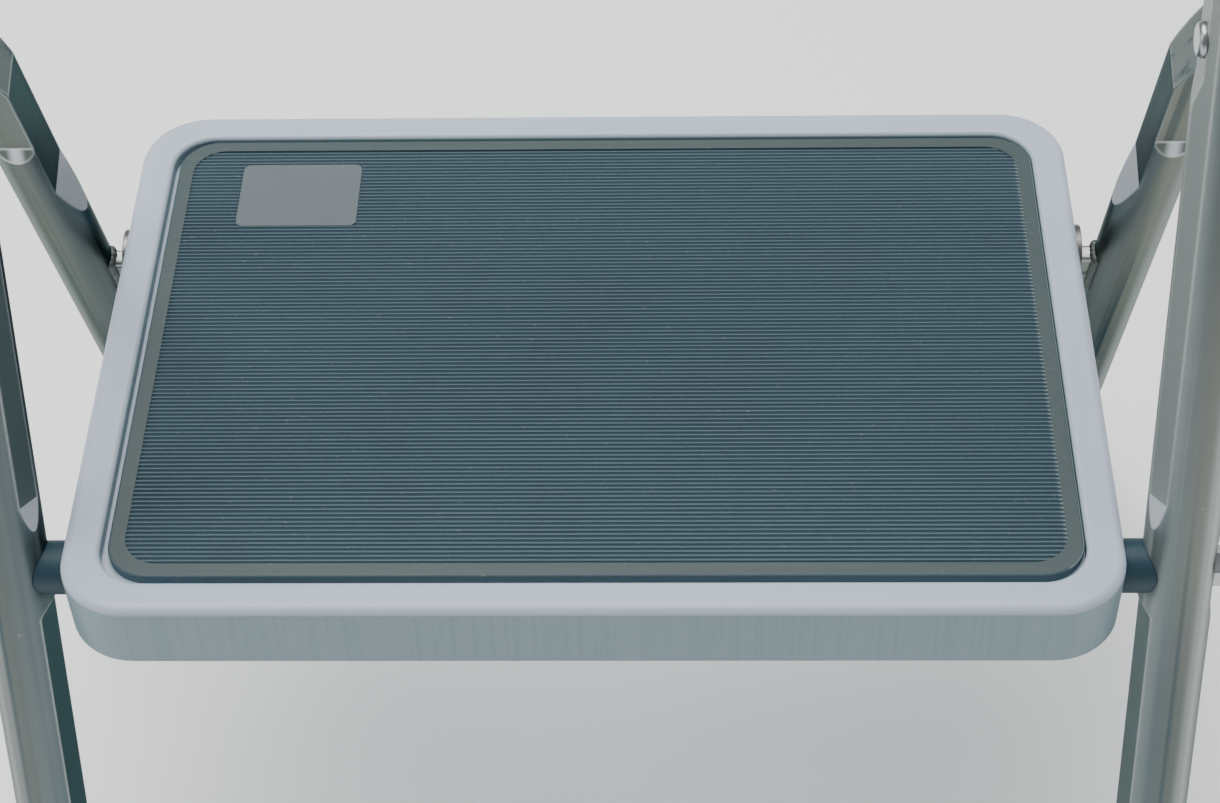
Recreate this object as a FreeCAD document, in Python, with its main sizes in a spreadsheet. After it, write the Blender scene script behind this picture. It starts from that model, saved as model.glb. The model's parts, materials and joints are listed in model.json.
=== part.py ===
"""Folding step stool: one tray-shaped step between a front frame with a hand rail and a rear frame.

Millimetres, +Z up, floor at Z = 0, X across the stool, -Y towards the user. The origin is on the
floor under the middle of the four feet.
"""
import FreeCAD, Part
import math
import os

import Sketcher

os.makedirs("parts", exist_ok=True)
doc = FreeCAD.newDocument("folding_step_stool")

Vector = FreeCAD.Vector
Rotation = FreeCAD.Rotation
Placement = FreeCAD.Placement

# Driving lengths, in millimetres.
DIMENSIONS = {
    "tread_height": 240.0,
    "step_width": 382.0,
    "step_depth": 264.2,
    "step_corner": 26.0,
    "rim_rise": 2.0,
    "skirt_depth": 29.0,
    "sheet_thickness": 1.3,
    "rim_width": 13.7,
    "rim_outer_round": 3.5,
    "rim_inner_round": 2.0,
    "mat_corner": 16.0,
    "mat_thickness": 4.0,
    "mat_side_gap": 1.25,
    "mat_end_gap": 2.0,
    "mat_corner_gap": 0.5,
    "mat_right_shift": 1.0,
    "mat_rear_shift": 1.7,
    "mat_border": 6.0,
    "mat_edge_round": 1.0,
    "rib_pitch": 2.0,
    "rib_height": 1.0,
    "rib_foot": 1.5,
    "rib_crest": 0.6,
    "rib_drop": 0.2,
    "label_width": 49.0,
    "label_depth": 36.5,
    "label_corner": 3.0,
    "label_side_inset": 27.0,
    "label_rear_inset": 14.5,
    "label_gap": 0.3,
    "front_tube": 27.0,
    "rear_tube": 24.0,
    "tube_wall": 1.5,
    "pivot_drop": 15.0,
    "pivot_setback": 33.8,
    "hinge_height": 420.0,
    "hinge_offset": 31.0,
    "front_press": 1.0,
    "front_press_start": 20.0,
    "front_press_ramp": 12.0,
    "lower_press": 2.7,
    "lower_press_start": 13.0,
    "lower_press_ramp": 4.0,
    "rear_press": 4.8,
    "rear_press_length": 132.0,
    "rear_press_ramp": 30.0,
    "rear_end_press": 14.5,
    "rear_end_length": 30.0,
    "rear_end_ramp": 42.0,
    "rear_seat_press": 4.0,
    "rear_seat_reach": 30.0,
    "dimple_press": 3.2,
    "dimple_start": 97.0,
    "dimple_end": 18.0,
    "dimple_ramp": 6.0,
    "seat_press": 2.0,
    "seat_reach": 12.0,
    "seat_ramp": 10.0,
    "hinge_press_reach": 16.0,
    "hinge_press_ramp": 28.0,
    "plate_thickness": 3.0,
    "plate_margin": 11.0,
    "plate_gap": 0.3,
    "plate_rivet_below": 8.0,
    "plate_rivet_above": 28.0,
    "plate_rivet_diameter": 6.0,
    "hinge_pin_diameter": 8.0,
    "pivot_bolt_diameter": 8.0,
    "running_clearance": 0.08,
    "fixed_clearance": 0.05,
    "bush_diameter": 20.0,
    "bush_length": 8.0,
    "bush_gap": 0.3,
    "pivot_plate_thickness": 2.5,
    "pivot_plate_length": 32.0,
    "pivot_plate_height": 17.0,
    "pivot_plate_edge": 7.0,
    "head_height": 3.0,
    "bolt_head_diameter": 16.0,
    "rivet_head_height": 2.5,
    "nut_flats": 13.0,
    "nut_height": 6.5,
    "bar_drop": 16.0,
    "bar_thickness": 7.0,
    "bar_height": 24.0,
    "bar_wall": 1.5,
    "hook_thickness": 3.0,
    "hook_width": 22.0,
    "hook_rise": 11.5,
    "hook_gap": 0.4,
    "hook_rivet_diameter": 4.6,
    "hook_rivet_rise": 6.2,
    "notch_gap": 1.2,
    "notch_lead": 14.0,
    "brace_height": 70.0,
    "brace_diameter": 20.0,
    "foot_diameter": 34.0,
    "foot_cup": 32.0,
    "foot_sole": 12.0,
    "foot_round": 2.5,
    "rail_joint_margin": 4.0,
    "rail_rise": 142.0,
    "rail_bend": 70.0,
    "rail_wall": 2.0,
    "rail_spigot": 40.0,
    "rail_spigot_root": 10.0,
    "rail_rivet_diameter": 4.0,
    "rail_rivet_drop": 18.0,
}

# Lean of the legs from upright, in degrees.
ANGLES = {
    "front_lean": 16.6,
    "rear_lean": 20.5,
}

# Lengths that follow from the driving ones: the mat fits the step, the legs stand a bush's length
# outside it, and the pivot goes with the tread.
FOLLOWING = {
    "mat_width": "=step_width - 2 * (rim_width + mat_side_gap)",
    "mat_depth": "=step_depth - 2 * (rim_width + mat_end_gap)",
    "recess_corner": "=mat_corner + mat_corner_gap",
    "leg_spacing": "=step_width + 2 * bush_length + front_tube",
    "pivot_height": "=tread_height - pivot_drop",
}

sheet = doc.addObject("Spreadsheet::Sheet", "Dimensions")
for row, (alias, content) in enumerate({**DIMENSIONS, **ANGLES, **FOLLOWING}.items(), start=1):
    sheet.set(f"A{row}", alias)
    sheet.set(f"B{row}", str(content))
    sheet.setAlias(f"B{row}", alias)
doc.recompute()

OVERCUT = 20.0
CROWN_SHARE = 0.7
THREAD_SHARE = 0.7
SIDES = {"left": -1, "right": 1}
X_AXIS = Vector(1, 0, 0)
Y_AXIS = Vector(0, 1, 0)
Z_AXIS = Vector(0, 0, 1)


def size(alias):
    """The number in the sheet's cell."""
    return float(sheet.get(alias))


def bind(obj, prop, value):
    """Tie a property to an expression on the sheet's cells, or set a worked-out number."""
    if isinstance(value, str):
        obj.setExpression(prop, value)
    else:
        setattr(obj, prop, value)


# Places worked out from the driving dimensions.
FRONT_LEAN = math.radians(size("front_lean"))
REAR_LEAN = math.radians(size("rear_lean"))
LEG_X = size("leg_spacing") / 2
FRONT_RADIUS = size("front_tube") / 2
REAR_RADIUS = size("rear_tube") / 2
WALL = size("tube_wall")

# The hinge as seen along the front leg: how far up from the step pivot, and how far behind the leg.
HINGE_RISE = size("hinge_height") - size("pivot_height")
HINGE_OFFSET = size("hinge_offset")
HINGE_ALONG = (HINGE_RISE + HINGE_OFFSET * math.sin(FRONT_LEAN)) / math.cos(FRONT_LEAN)
HINGE_BEHIND_PIVOT = HINGE_ALONG * math.sin(FRONT_LEAN) + HINGE_OFFSET * math.cos(FRONT_LEAN)

# The pivot's Y puts the origin midway between the front and rear feet.
FOOT_RADIUS = size("foot_diameter") / 2
FRONT_REACH = size("pivot_height") * math.tan(FRONT_LEAN) + FOOT_RADIUS / math.cos(FRONT_LEAN)
REAR_REACH = size("hinge_height") * math.tan(REAR_LEAN) + FOOT_RADIUS / math.cos(REAR_LEAN)
PIVOT_Y = (FRONT_REACH - HINGE_BEHIND_PIVOT - REAR_REACH) / 2
HINGE_Y = PIVOT_Y + HINGE_BEHIND_PIVOT
PIVOT_Z = size("pivot_height")
HINGE_Z = size("hinge_height")

STEP_FRONT_Y = PIVOT_Y - size("pivot_setback")
STEP_MID_Y = STEP_FRONT_Y + size("step_depth") / 2
MAT_MID_X = size("mat_right_shift")
MAT_MID_Y = STEP_MID_Y + size("mat_rear_shift")
SKIRT_BOTTOM = size("tread_height") + size("rim_rise") - size("skirt_depth")
STEP_SIDE_X = size("step_width") / 2
SKIRT_INNER_X = STEP_SIDE_X - size("sheet_thickness")

# The hinge plates lie against pressed flats on the outer sides of the front legs, clear of the rear legs.
PLATE_INNER_X = LEG_X + REAR_RADIUS - size("rear_seat_press") + size("plate_gap")
PLATE_OUTER_X = PLATE_INNER_X + size("plate_thickness")
FRONT_HINGE_PRESS = LEG_X + FRONT_RADIUS - PLATE_INNER_X
LOWER_RIVET_ALONG = HINGE_ALONG - size("plate_rivet_below")
UPPER_RIVET_ALONG = HINGE_ALONG + size("plate_rivet_above")

# The bar under the step, measured down the rear leg from the hinge.
BAR_TOP_ALONG = (HINGE_Z - size("tread_height") + size("bar_drop")) / math.cos(REAR_LEAN)
BAR_TOP_Y = HINGE_Y + BAR_TOP_ALONG * math.sin(REAR_LEAN)
BAR_TOP_Z = size("tread_height") - size("bar_drop")
BRACE_ALONG = (HINGE_Z - size("brace_height")) / math.cos(REAR_LEAN)


def front_frame_place(x):
    """A frame at the step pivot whose Z runs up the front leg."""
    return Placement(Vector(x, PIVOT_Y, PIVOT_Z), Rotation(X_AXIS, -size("front_lean")))


def rear_frame_place(x):
    """A frame at the hinge whose Z runs up the rear leg."""
    return Placement(Vector(x, HINGE_Y, HINGE_Z), Rotation(X_AXIS, size("rear_lean")))


def along_x(x, y, z):
    """A frame whose Z runs along +X."""
    return Placement(Vector(x, y, z), Rotation(Y_AXIS, 90))


def moved(place, x, y, z):
    """A frame shifted along its own axes."""
    return place.multiply(Placement(Vector(x, y, z), Rotation()))


def cylinder(name, radius, height, place=Placement()):
    obj = doc.addObject("Part::Cylinder", name)
    bind(obj, "Radius", radius)
    bind(obj, "Height", height)
    obj.Placement = place
    return obj


def box(name, length, width, height, place=Placement()):
    obj = doc.addObject("Part::Box", name)
    bind(obj, "Length", length)
    bind(obj, "Width", width)
    bind(obj, "Height", height)
    obj.Placement = place
    return obj


def fuse(name, shapes):
    obj = doc.addObject("Part::MultiFuse", name)
    obj.Shapes = shapes
    return obj


def cut(name, base, tools):
    obj = doc.addObject("Part::Cut", name)
    obj.Base = base
    obj.Tool = tools[0] if len(tools) == 1 else fuse(name + "_tools", tools)
    return obj


def rounded(name, base, radius, keep):
    """Round the edges of an object that the test picks."""
    doc.recompute()
    obj = doc.addObject("Part::Fillet", name)
    obj.Base = base
    obj.Edges = [(i + 1, radius, radius) for i, edge in enumerate(base.Shape.Edges) if keep(edge)]
    return obj


def group(name, shapes):
    """Identical pieces that share one node."""
    obj = doc.addObject("Part::Compound", name)
    obj.Links = shapes
    return obj


NODES = []


def node(obj, name, place=None):
    """Name the finished piece, put it in its place and list it for writing."""
    obj.Label = name
    if place is not None:
        obj.Placement = place
    NODES.append(obj)
    return obj


# Pressed tubes.
def press_tool(name, radius, depth, low, high, low_ramp, high_ramp, turn, sink):
    """A flat-bottomed die with sloping ends that presses a tube from its side.

    The tube runs along Z. The die comes from -Y and is turned about Z. It is full depth from low to
    high, and sink moves it further in, to keep the wall behind the pressed face.
    """
    slope = (depth + OVERCUT) / depth
    die = doc.addObject("Part::Wedge", name)
    die.Xmin = die.X2min = -radius - OVERCUT
    die.Xmax = die.X2max = radius + OVERCUT
    die.Ymin = -radius - OVERCUT
    die.Ymax = -radius + depth
    die.Z2min = low
    die.Z2max = high
    die.Zmin = low - low_ramp * slope
    die.Zmax = high + high_ramp * slope
    turned = Rotation(Z_AXIS, turn)
    die.Placement = Placement(turned.multVec(Vector(0, sink, 0)), turned)
    return die


QUARTER_TURN = 90
UPPER_FLAT_TURN = 63
LOWER_FLAT_TURN = 84
INNER, OUTER, FRONT = "inner", "outer", "front"
UPPER_FLAT, LOWER_FLAT = "upper_flat", "lower_flat"


def turn_of(face, side):
    """Which way a die is turned so that it presses this face of the leg on this side."""
    turns = {INNER: -QUARTER_TURN, OUTER: QUARTER_TURN, FRONT: 0,
             UPPER_FLAT: -UPPER_FLAT_TURN, LOWER_FLAT: -LOWER_FLAT_TURN}
    return turns[face] * side


def pressed_tube(name, radius, bottom, top, presses, side, holes, domed=False):
    """A hollow tube along Z with pressed faces and cross holes, and a closed round top if domed."""
    core = radius - WALL
    start = Placement()
    skins = [cylinder(name + "_outside", radius, top - bottom, moved(start, 0, 0, bottom))]
    bore_top = top if domed else top + OVERCUT
    bores = [cylinder(name + "_bore", core, bore_top - bottom + OVERCUT,
                      moved(start, 0, 0, bottom - OVERCUT))]
    if domed:
        for shapes, dome_radius, part in ((skins, radius, "_dome"), (bores, core, "_dome_bore")):
            dome = doc.addObject("Part::Sphere", name + part)
            dome.Radius = dome_radius
            dome.Placement.Base = Vector(0, 0, top)
            shapes.append(dome)
    outside = skins[0] if len(skins) == 1 else fuse(name + "_skin", skins)
    inside = bores[0] if len(bores) == 1 else fuse(name + "_hollow", bores)
    dies = []
    inner_dies = []
    for number, (face, *press) in enumerate(presses):
        turn = turn_of(face, side)
        dies.append(press_tool(f"{name}_die{number}", radius, *press, turn, 0))
        inner_dies.append(press_tool(f"{name}_inner_die{number}", radius, *press, turn, WALL))
    pressed = cut(name + "_pressed", outside, dies)
    cavity = cut(name + "_cavity", inside, inner_dies)
    drills = [cylinder(f"{name}_hole{number}", hole_radius, 4 * radius, place)
              for number, (hole_radius, place) in enumerate(holes)]
    return cut(name, pressed, [cavity] + drills)


def cross_hole(along, radius):
    """The frame of a hole right across the tube at this place along it."""
    return Placement(Vector(-2 * radius, 0, along), Rotation(Y_AXIS, 90))


FRONT_BOTTOM = size("foot_sole") - PIVOT_Z / math.cos(FRONT_LEAN)
PLATE_PRESS_LOW = LOWER_RIVET_ALONG - size("hinge_press_reach")
PLATE_PRESS_HIGH = UPPER_RIVET_ALONG + size("hinge_press_reach")
SPIGOT_BOTTOM = PLATE_PRESS_HIGH + size("hinge_press_ramp") + size("rail_joint_margin")
FRONT_TOP = SPIGOT_BOTTOM + size("rail_spigot")
REAR_BOTTOM = size("foot_sole") - HINGE_Z / math.cos(REAR_LEAN)
BOLT_FIT = size("pivot_bolt_diameter") / 2 + size("fixed_clearance")
RIVET_FIT = size("plate_rivet_diameter") / 2 + size("fixed_clearance")
RAIL_RIVET_FIT = size("rail_rivet_diameter") / 2 + size("fixed_clearance")
PIN_RUN = size("hinge_pin_diameter") / 2 + size("running_clearance")
BOLT_RUN = size("pivot_bolt_diameter") / 2 + size("running_clearance")
SEAT_REACH = size("seat_reach")
SEAT_RAMP = size("seat_ramp")


def front_leg(side_name, side):
    """A front leg: long flats above and below the bush, seats for bolt and rivets, and the hinge plate's bed."""
    press = size("front_press")
    seat = size("seat_press")
    ramp = size("front_press_ramp")
    plate_ramp = size("hinge_press_ramp")
    lower_ramp = size("lower_press_ramp")
    upper_start = size("front_press_start") + ramp
    lower_start = FRONT_BOTTOM + size("foot_cup") + 2 * lower_ramp
    lower_end = -size("lower_press_start") - lower_ramp
    presses = [
        (UPPER_FLAT, press, upper_start, PLATE_PRESS_HIGH, ramp, plate_ramp),
        (INNER, seat, LOWER_RIVET_ALONG - SEAT_REACH, UPPER_RIVET_ALONG + SEAT_REACH, SEAT_RAMP, SEAT_RAMP),
        (LOWER_FLAT, size("lower_press"), lower_start, lower_end, lower_ramp, lower_ramp),
        (OUTER, FRONT_HINGE_PRESS, PLATE_PRESS_LOW, PLATE_PRESS_HIGH, plate_ramp, plate_ramp),
        (OUTER, seat, -SEAT_REACH, SEAT_REACH, SEAT_RAMP, SEAT_RAMP),
    ]
    rail_hole = Placement(Vector(0, 0, FRONT_TOP - size("rail_rivet_drop")), Rotation(X_AXIS, -90))
    holes = [
        (BOLT_FIT, cross_hole(0, FRONT_RADIUS)),
        (RIVET_FIT, cross_hole(LOWER_RIVET_ALONG, FRONT_RADIUS)),
        (RIVET_FIT, cross_hole(UPPER_RIVET_ALONG, FRONT_RADIUS)),
        (RAIL_RIVET_FIT, rail_hole),
    ]
    name = f"front_{side_name}_leg"
    leg = pressed_tube(name, FRONT_RADIUS, FRONT_BOTTOM, FRONT_TOP, presses, side, holes)
    node(leg, name, front_frame_place(side * LEG_X))


def rear_leg(side_name, side):
    """A rear leg: its inner side is pressed in, deeper at the hinge, and its front has a leaf-shaped dimple."""
    top = REAR_RADIUS + OVERCUT
    dent = size("dimple_ramp")
    presses = [
        (INNER, size("rear_press"), -size("rear_press_length"), top, size("rear_press_ramp"), 0),
        (INNER, size("rear_end_press"), -size("rear_end_length"), top, size("rear_end_ramp"), 0),
        (FRONT, size("dimple_press"), -size("dimple_start"), -size("dimple_end"), dent, dent),
        (OUTER, size("rear_seat_press"), -size("rear_seat_reach"), top, size("hinge_press_ramp"), 0),
    ]
    holes = [(PIN_RUN, cross_hole(0, REAR_RADIUS))]
    name = f"rear_{side_name}_leg"
    leg = pressed_tube(name, REAR_RADIUS, REAR_BOTTOM, 0, presses, side, holes, domed=True)
    node(leg, name, rear_frame_place(side * LEG_X))


def foot(name, place, radius, bottom):
    """A rubber cup on the end of a leg, cut flat on the floor."""
    reach = size("foot_sole") + size("foot_diameter")
    outside = cylinder(name + "_outside", "Dimensions.foot_diameter / 2", reach + size("foot_cup"),
                       moved(place, 0, 0, bottom - reach))
    top = place.multVec(Vector(0, 0, bottom + size("foot_cup")))
    outside = rounded(name + "_rounded", outside, size("foot_round"),
                      lambda edge: edge.CenterOfMass.isEqual(top, 0.1))
    bore = cylinder(name + "_bore", radius + size("fixed_clearance"), size("foot_cup") + OVERCUT,
                    moved(place, 0, 0, bottom))
    span = 4 * size("foot_diameter")
    ground = place.multVec(Vector(0, 0, bottom))
    floor = box(name + "_floor", span, span, span,
                Placement(Vector(ground.x - span / 2, ground.y - span / 2, -span), Rotation()))
    node(cut(name, outside, [bore, floor]), name)


# Pins, bolts and rivets across the stool.
def headed_pin(name, radius, head_radius, head_height, span, at, side, heads=("inner", "outer")):
    """A pin across the stool between two faces, with a rounded head on each named end."""
    inner_x, outer_x = span
    y, z = at
    low = min(side * inner_x, side * outer_x)
    pieces = [cylinder(name + "_shank", radius, outer_x - inner_x, along_x(low, y, z))]
    for end in heads:
        x = side * inner_x if end == "inner" else side * outer_x
        outward = -side if end == "inner" else side
        start = x if outward > 0 else x - head_height
        crown = x + outward * head_height
        head = cylinder(f"{name}_{end}_head", head_radius, head_height, along_x(start, y, z))
        pieces.append(rounded(f"{name}_{end}_crown", head, CROWN_SHARE * head_height,
                              lambda edge, crown=crown: abs(edge.CenterOfMass.x - crown) < 0.01
                              and edge.Curve.TypeId == "Part::GeomCircle"))
    return fuse(name, pieces)


FRONT_SEAT_X = LEG_X + FRONT_RADIUS - size("seat_press")
FRONT_FLAT_X = LEG_X - FRONT_RADIUS + size("seat_press")
REAR_FLAT_X = LEG_X - REAR_RADIUS + size("rear_end_press")


def front_point(along, behind=0.0):
    """The Y and Z of a place measured along the front leg from the pivot."""
    place = front_frame_place(0).multVec(Vector(0, behind, along))
    return place.y, place.z


def hinge_set(side_name, side):
    """The hinge plate on a front leg and the pin that the rear leg turns on."""
    corners = [front_point(LOWER_RIVET_ALONG), front_point(UPPER_RIVET_ALONG), (HINGE_Y, HINGE_Z)]
    start = min(side * PLATE_INNER_X, side * PLATE_OUTER_X)
    points = [Vector(start, y, z) for y, z in corners]
    outline = Part.makePolygon(points + points[:1]).makeOffset2D(size("plate_margin"))
    blank = doc.addObject("Part::Feature", f"{side_name}_plate_blank")
    blank.Shape = Part.Face(outline).extrude(X_AXIS * size("plate_thickness"))
    holes = [cylinder(f"{side_name}_plate_hole{number}", radius, 4 * size("plate_thickness"),
                      along_x(start - size("plate_thickness"), y, z))
             for number, (radius, (y, z)) in enumerate(zip((RIVET_FIT, RIVET_FIT, BOLT_FIT), corners))]
    node(cut(f"{side_name}_hinge_plate", blank, holes), f"{side_name}_hinge_plate")
    head = size("rivet_head_height")
    pin_span = (REAR_FLAT_X - size("running_clearance"), PLATE_OUTER_X)
    pin = headed_pin(f"{side_name}_hinge_pin", "Dimensions.hinge_pin_diameter / 2",
                     size("hinge_pin_diameter"), head, pin_span, (HINGE_Y, HINGE_Z), side)
    node(pin, f"{side_name}_hinge_pin")
    return [headed_pin(f"{side_name}_plate_rivet{number}", "Dimensions.plate_rivet_diameter / 2",
                       size("plate_rivet_diameter"), head, (FRONT_FLAT_X, PLATE_OUTER_X), at, side)
            for number, at in enumerate(corners[:2])]


def pivot_set(side_name, side):
    """The bush, bolt, cap nut and doubling plate that the step turns on."""
    leg_skin = cylinder(f"{side_name}_bush_saddle", FRONT_RADIUS + size("fixed_clearance"),
                        8 * FRONT_RADIUS, moved(front_frame_place(side * LEG_X), 0, 0, -4 * FRONT_RADIUS))
    near = STEP_SIDE_X + size("bush_gap")
    low = min(side * near, side * LEG_X)
    blank = cylinder(f"{side_name}_bush_blank", "Dimensions.bush_diameter / 2", LEG_X - near,
                     along_x(low, PIVOT_Y, PIVOT_Z))
    bore = cylinder(f"{side_name}_bush_bore", BOLT_FIT, 2 * LEG_X, along_x(-LEG_X, PIVOT_Y, PIVOT_Z))
    node(cut(f"{side_name}_pivot_bush", blank, [leg_skin, bore]), f"{side_name}_pivot_bush")

    plate_inner = SKIRT_INNER_X - size("pivot_plate_thickness")
    corner = Vector(min(side * plate_inner, side * SKIRT_INNER_X), PIVOT_Y - size("pivot_plate_edge"),
                    PIVOT_Z - size("pivot_plate_height") / 2)
    plate = box(f"{side_name}_pivot_plate_blank", "Dimensions.pivot_plate_thickness",
                "Dimensions.pivot_plate_length", "Dimensions.pivot_plate_height",
                Placement(corner, Rotation()))
    hole = cylinder(f"{side_name}_pivot_plate_hole", BOLT_RUN, 2 * LEG_X, along_x(-LEG_X, PIVOT_Y, PIVOT_Z))
    node(cut(f"{side_name}_pivot_plate", plate, [hole]), f"{side_name}_pivot_plate")

    head_face = plate_inner - size("bush_gap")
    bolt_end = FRONT_SEAT_X + THREAD_SHARE * size("nut_height")
    bolt = headed_pin(f"{side_name}_pivot_bolt", "Dimensions.pivot_bolt_diameter / 2",
                      size("bolt_head_diameter") / 2, size("head_height"), (head_face, bolt_end),
                      (PIVOT_Y, PIVOT_Z), side, heads=("inner",))
    node(bolt, f"{side_name}_pivot_bolt")

    nut_start = FRONT_SEAT_X if side > 0 else -FRONT_SEAT_X - size("nut_height")
    hexagon = doc.addObject("Part::Prism", f"{side_name}_nut_hexagon")
    hexagon.Polygon = 6
    bind(hexagon, "Circumradius", "Dimensions.nut_flats / sqrt(3)")
    bind(hexagon, "Height", "Dimensions.nut_height")
    hexagon.Placement = along_x(nut_start, PIVOT_Y, PIVOT_Z)
    dome = doc.addObject("Part::Sphere", f"{side_name}_nut_dome")
    bind(dome, "Radius", "Dimensions.nut_flats / 2 - Dimensions.sheet_thickness / 2")
    dome.Placement.Base = Vector(side * (FRONT_SEAT_X + size("nut_height")), PIVOT_Y, PIVOT_Z)
    inside = box(f"{side_name}_nut_inside", size("nut_flats"), 2 * size("nut_flats"), 2 * size("nut_flats"),
                 Placement(Vector(side * FRONT_SEAT_X - (size("nut_flats") if side > 0 else 0),
                                  PIVOT_Y - size("nut_flats"), PIVOT_Z - size("nut_flats")), Rotation()))
    thread = cylinder(f"{side_name}_nut_thread", BOLT_FIT, 2 * (bolt_end + size("fixed_clearance")),
                      along_x(-bolt_end - size("fixed_clearance"), PIVOT_Y, PIVOT_Z))
    blank = fuse(f"{side_name}_nut_blank", [hexagon, dome])
    node(cut(f"{side_name}_pivot_nut", blank, [inside, thread]), f"{side_name}_pivot_nut")


# The rear frame's cross members.
def leg_envelopes(name):
    """The space that the two rear legs take, with a hair of room for the weld."""
    reach = HINGE_Z / math.cos(REAR_LEAN)
    return [cylinder(f"{name}_{side_name}_cope", REAR_RADIUS + size("fixed_clearance"), reach,
                     moved(rear_frame_place(side * LEG_X), 0, 0, -reach))
            for side_name, side in SIDES.items()]


def rest_bar():
    """The flat hollow bar under the step's rear, coped to the rear legs."""
    thick, high, wall = size("bar_thickness"), size("bar_height"), size("bar_wall")
    low = -BAR_TOP_ALONG - high
    place = rear_frame_place(0)
    outside = box("bar_outside", "Dimensions.leg_spacing", "Dimensions.bar_thickness",
                  "Dimensions.bar_height", moved(place, -LEG_X, -thick / 2, low))
    outside = rounded("bar_rounded", outside, wall, lambda edge: edge.Length > size("step_width"))
    inside = box("bar_inside", 2 * LEG_X + 2 * OVERCUT, thick - 2 * wall, high - 2 * wall,
                 moved(place, -LEG_X - OVERCUT, -thick / 2 + wall, low + wall))
    node(cut("step_rest_bar", outside, [inside] + leg_envelopes("bar")), "step_rest_bar")


def lower_brace():
    """The round tube near the floor between the rear legs."""
    centre = rear_frame_place(0).multVec(Vector(0, 0, -BRACE_ALONG))
    outside = cylinder("brace_outside", "Dimensions.brace_diameter / 2", 2 * LEG_X,
                       along_x(-LEG_X, centre.y, centre.z))
    inside = cylinder("brace_inside", "Dimensions.brace_diameter / 2 - Dimensions.tube_wall",
                      2 * LEG_X + 2 * OVERCUT, along_x(-LEG_X - OVERCUT, centre.y, centre.z))
    node(cut("rear_lower_brace", outside, [inside] + leg_envelopes("brace")), "rear_lower_brace")


def bar_room(name, gap, lead):
    """The room round the bar's top, open downwards, with lead to spare in front of it."""
    thick = size("bar_thickness")
    depth = size("bar_height") + size("skirt_depth")
    return box(name, 4 * LEG_X, thick + gap + lead, depth,
               moved(rear_frame_place(0), -2 * LEG_X, -thick / 2 - lead, -BAR_TOP_ALONG + gap - depth))


def rest_hook(side_name, side):
    """A round-topped plate on the step's side that sits on the bar and catches behind it."""
    half = size("hook_width") / 2
    start = min(side * STEP_SIDE_X, side * (STEP_SIDE_X + size("hook_thickness")))
    crown_z = BAR_TOP_Z + size("hook_rise") - half
    corner = Vector(start, BAR_TOP_Y - half, SKIRT_BOTTOM)
    plate = box(f"{side_name}_hook_plate", "Dimensions.hook_thickness", "Dimensions.hook_width",
                crown_z - SKIRT_BOTTOM, Placement(corner, Rotation()))
    crown = cylinder(f"{side_name}_hook_crown", half, "Dimensions.hook_thickness",
                     along_x(start, BAR_TOP_Y, crown_z))
    hole = cylinder(f"{side_name}_hook_hole", size("hook_rivet_diameter") / 2 + size("fixed_clearance"),
                    2 * LEG_X, along_x(-LEG_X, BAR_TOP_Y, BAR_TOP_Z + size("hook_rivet_rise")))
    blank = fuse(f"{side_name}_hook_blank", [plate, crown])
    room = bar_room(f"{side_name}_hook_room", size("hook_gap"), size("hook_width"))
    node(cut(f"{side_name}_rest_hook", blank, [room, hole]), f"{side_name}_rest_hook")
    return headed_pin(f"{side_name}_hook_rivet", "Dimensions.hook_rivet_diameter / 2",
                      size("hook_rivet_diameter"), size("rivet_head_height"),
                      (SKIRT_INNER_X, STEP_SIDE_X + size("hook_thickness")),
                      (BAR_TOP_Y, BAR_TOP_Z + size("hook_rivet_rise")), side, heads=("inner",))


# Sketched pieces of the step.
def origin_plane(body, role):
    return next(feature for feature in body.Origin.OriginFeatures if feature.Role == role)


def new_body(name, y, z, x=0.0):
    body = doc.addObject("PartDesign::Body", name)
    body.Placement.Base = Vector(x, y, z)
    return body


def new_sketch(body, name, role, lift=None):
    sketch = body.newObject("Sketcher::SketchObject", name)
    sketch.AttachmentSupport = (origin_plane(body, role), [""])
    sketch.MapMode = "FlatFace"
    if lift is not None:
        sketch.setExpression("AttachmentOffset.Base.z", lift)
    return sketch


def worked_out(obj, expression):
    """What an expression on the sheet's cells comes to, in millimetres."""
    value = obj.evalExpression(expression)
    return float(getattr(value, "Value", value))


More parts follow.
